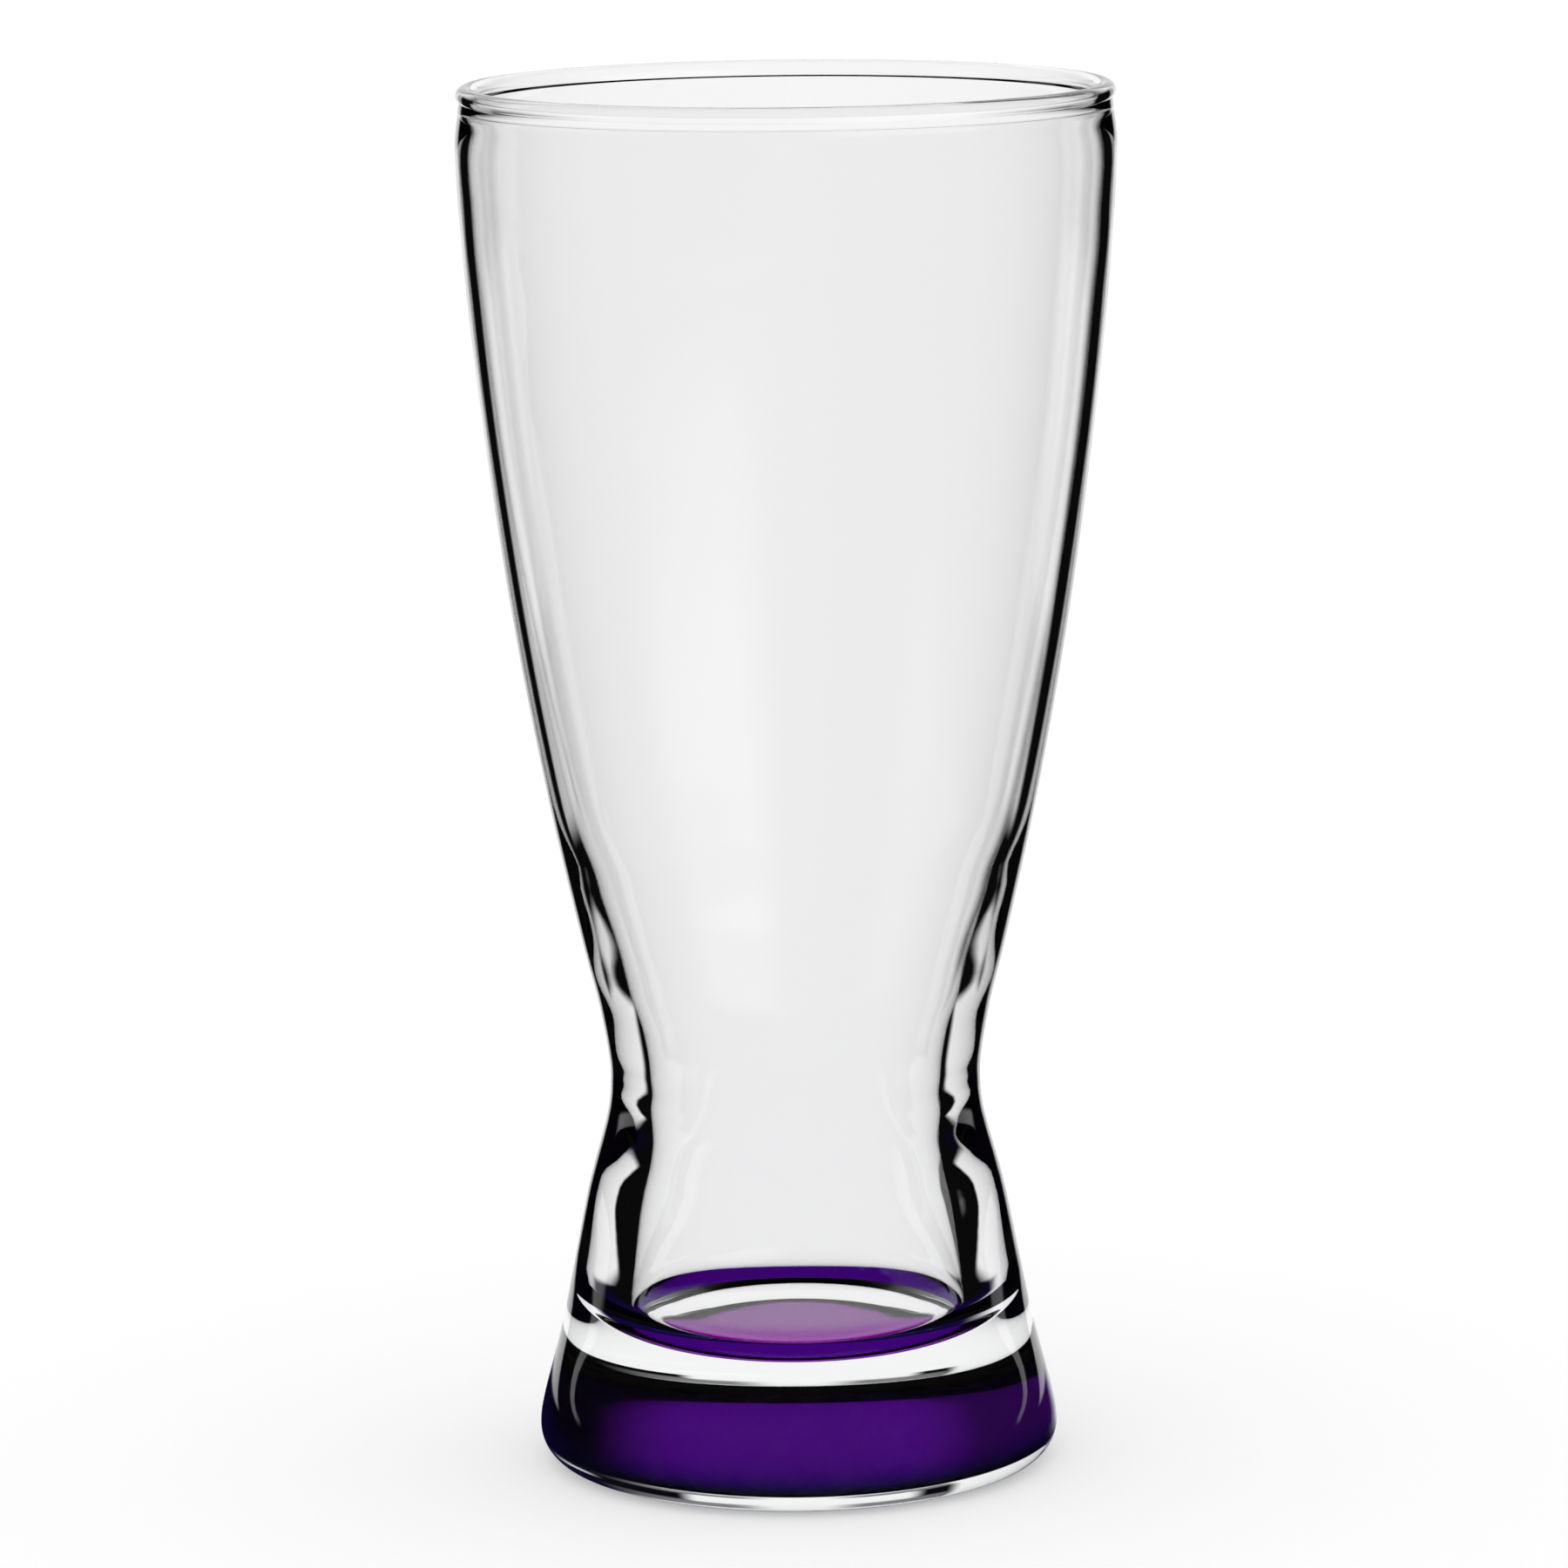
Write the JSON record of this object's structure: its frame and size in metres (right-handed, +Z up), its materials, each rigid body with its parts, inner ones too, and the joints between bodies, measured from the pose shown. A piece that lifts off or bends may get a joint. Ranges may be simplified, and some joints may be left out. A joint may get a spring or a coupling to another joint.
{
  "type": "pilsner glass",
  "caption": "Hourglass pilsner glass with a tall flaring cup, a drawn-in waist, a thick solid foot and a translucent purple film under the base.",
  "frame": {"origin": "centre of the flat ring that the glass stands on", "axes": "+Z up along the axis of the glass, from the foot to the rim; the glass is round, so +X and +Y are free"},
  "size_m": [0.0752, 0.0752, 0.16],
  "materials": {
    "clear_glass": "smooth, fire-polished, colourless soda-lime glass",
    "purple_film": "translucent purple lacquer sprayed under the foot"
  },
  "bodies": {
    "root": {"glass_body": "clear_glass", "base_tint_coat": "purple_film"}
  },
  "joints": []
}
